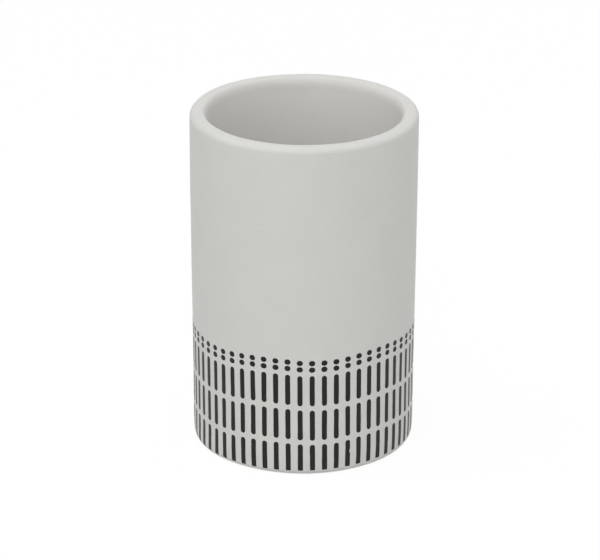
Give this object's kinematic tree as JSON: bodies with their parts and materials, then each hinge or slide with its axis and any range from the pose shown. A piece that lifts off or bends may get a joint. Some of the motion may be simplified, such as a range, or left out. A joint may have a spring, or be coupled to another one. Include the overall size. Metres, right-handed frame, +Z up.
{
  "type": "bathroom tumbler",
  "caption": "Straight glazed stoneware tumbler with a rounded rim, a bare standing ring and a printed band of dots and upright dashes.",
  "frame": {"origin": "middle of the standing ring, on the table", "axes": "+Z up along the cup's axis, towards the rim; -Y is the side the picture shows"},
  "size_m": [0.07, 0.07, 0.107],
  "materials": {
    "bare_clay": "matt",
    "satin_glaze": "satin",
    "black_ink": "matt"
  },
  "bodies": {
    "root": {"clay_body": "bare_clay", "outer_glaze": "satin_glaze", "inner_glaze": "satin_glaze", "base_glaze": "satin_glaze", "dots_upper_row": "black_ink", "dots_lower_row": "black_ink", "dashes_upper_row": "black_ink", "dashes_middle_row": "black_ink", "dashes_lower_row": "black_ink"}
  },
  "joints": []
}
